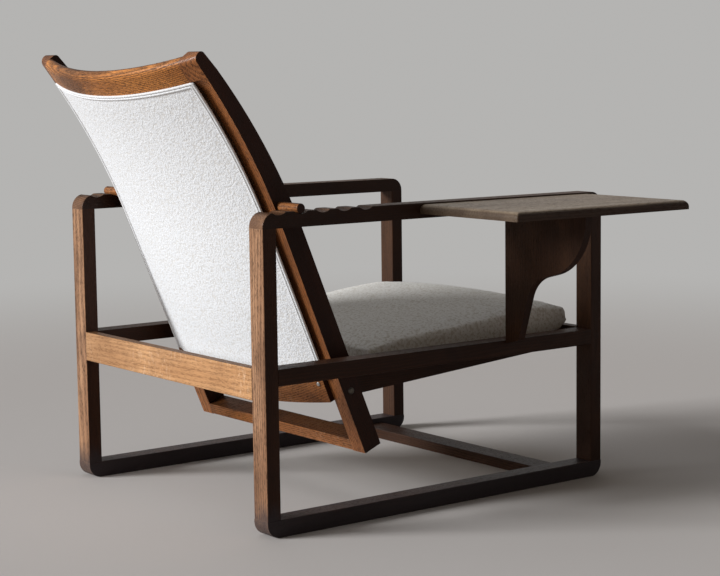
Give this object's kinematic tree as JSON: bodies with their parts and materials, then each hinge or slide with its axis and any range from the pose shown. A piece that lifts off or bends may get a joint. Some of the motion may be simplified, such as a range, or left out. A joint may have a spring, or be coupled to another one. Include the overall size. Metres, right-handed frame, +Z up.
{
  "type": "reclining armchair",
  "caption": "Oak armchair with open side frames and an upholstered seat and back that tilt together, the back's stub pins resting in scoops along the arms, and a tray beside one arm.",
  "frame": {"origin": "on the floor, at the middle of the floor stretcher's underside", "axes": "+X to the sitter's left, +Y to the rear, +Z up"},
  "size_m": [1.02, 0.9952, 0.9043],
  "materials": {
    "oak": "dark stained oak, satin",
    "boucle_fabric": "nubbly woven pile",
    "piping": "smooth woven cord cover",
    "plywood": "raw plywood",
    "batten_wood": "raw softwood",
    "steel": "zinc plated"
  },
  "bodies": {
    "base": {"right_runner": "oak", "right_front_post": "oak", "right_rear_post": "oak", "right_side_rail": "oak", "right_arm": "oak", "left_runner": "oak", "left_front_post": "oak", "left_rear_post": "oak", "left_side_rail": "oak", "left_arm": "oak", "front_pegs": "oak", "seat_pivot_dowels": "oak", "rear_rail": "oak", "front_rail": "oak", "floor_stretcher": "oak", "tray_dowels": "batten_wood", "bracket_dowels": "batten_wood", "tray_inner_board": "oak", "tray_outer_board": "oak", "tray_bracket": "oak"},
    "seat": {"seat_front_bar": "oak", "seat_left_rail": "oak", "seat_right_rail": "oak", "seat_rear_bar": "oak", "seat_deck": "plywood", "seat_pad": "boucle_fabric"},
    "back": {"left_stile": "oak", "right_stile": "oak", "crest_rail": "oak", "bottom_rail": "oak", "lower_rail": "oak", "panel_battens": "batten_wood", "back_board": "plywood", "rear_cover": "boucle_fabric", "rear_welt": "piping", "back_pad": "boucle_fabric", "back_screws": "steel", "stub_pins": "oak", "pivot_bolts": "steel", "pivot_washers": "steel", "pivot_nuts": "steel"}
  },
  "joints": [
    {"name": "seat_lift", "type": "hinge", "parent": "base", "child": "seat", "pos_m": [0, -0.0385, 0.297], "axis": [1, 0, 0], "range_deg": [0, 5]},
    {"name": "back_raise", "type": "hinge", "parent": "seat", "child": "back", "pos_m": [0, 0.5175, 0.245], "axis": [1, 0, 0], "range_deg": [0, 22]}
  ]
}
